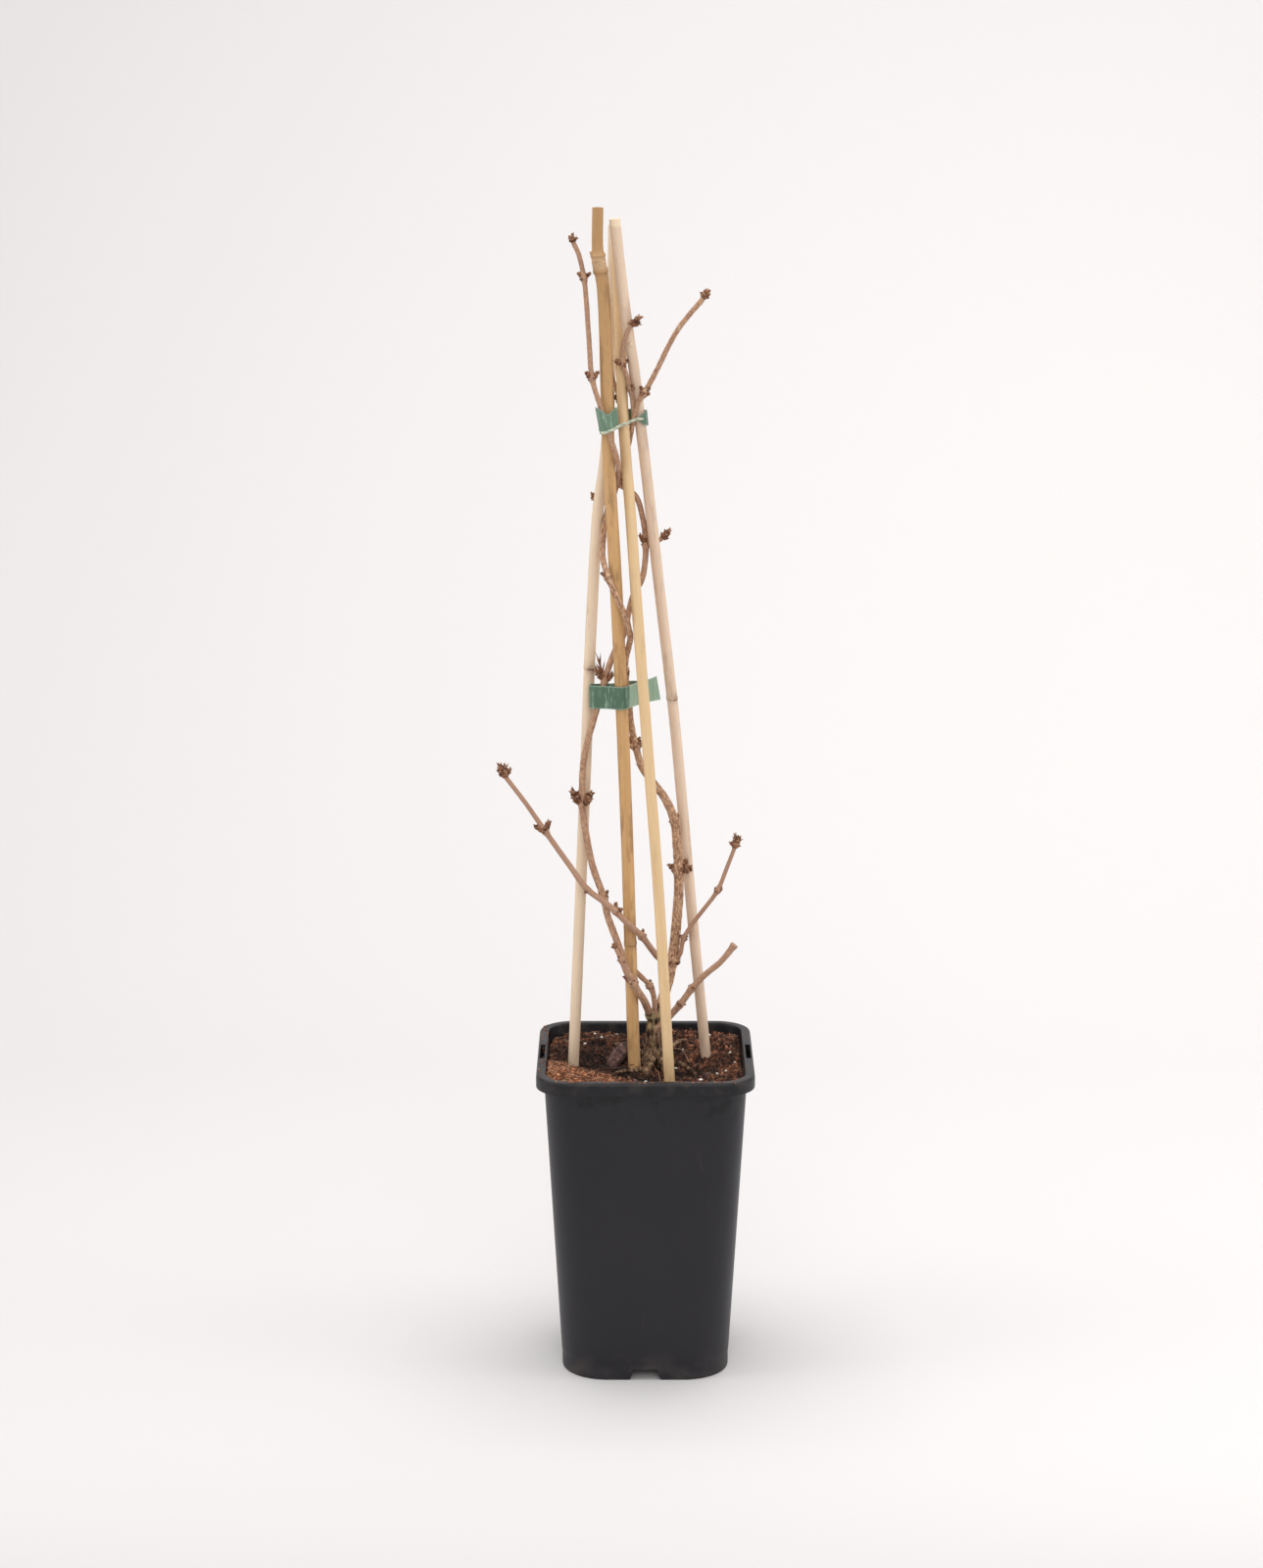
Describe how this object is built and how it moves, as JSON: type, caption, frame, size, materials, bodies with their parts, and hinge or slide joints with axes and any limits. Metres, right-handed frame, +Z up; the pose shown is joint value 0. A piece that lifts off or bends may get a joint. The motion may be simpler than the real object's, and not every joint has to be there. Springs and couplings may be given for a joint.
{
  "type": "potted climbing honeysuckle",
  "caption": "Bare winter honeysuckle whose stems twine up bamboo canes, tied with plastic tape, rooted in soil in a square plastic nursery pot.",
  "frame": {"origin": "centre of the pot's underside, on the ground plane", "axes": "+Z up along the canes, +X to the plant's right as seen from the front, -Y to the front"},
  "size_m": [0.153, 0.13, 0.697],
  "materials": {
    "pot_plastic": "near-black nursery pot plastic, satin, slightly bluish",
    "potting_soil": null,
    "root_bark": "rough olive brown bark of the rootstock",
    "bamboo_pale": "pale dry bamboo, satin, fine lengthwise fibres",
    "bamboo_golden": "golden brown bamboo, satin, darker lengthwise streaks",
    "stem_bark": "reddish brown flaky bark",
    "young_bark": "smooth purplish brown bark of young shoots with dark scaly buds",
    "tie_tape": "dull green garden tape, thin and slightly translucent"
  },
  "bodies": {
    "root": {"pot": "pot_plastic", "soil": "potting_soil", "crown": "root_bark", "cane_left": "bamboo_pale", "cane_middle": "bamboo_golden", "cane_front": "bamboo_pale", "cane_right": "bamboo_pale", "vine_left": "stem_bark", "vine_right": "stem_bark", "shoot_far_left": "young_bark", "shoot_stub": "young_bark", "shoot_right_upper": "young_bark", "shoot_right_lower": "young_bark", "tie_middle": "tie_tape", "tie_top": "tie_tape"}
  },
  "joints": []
}
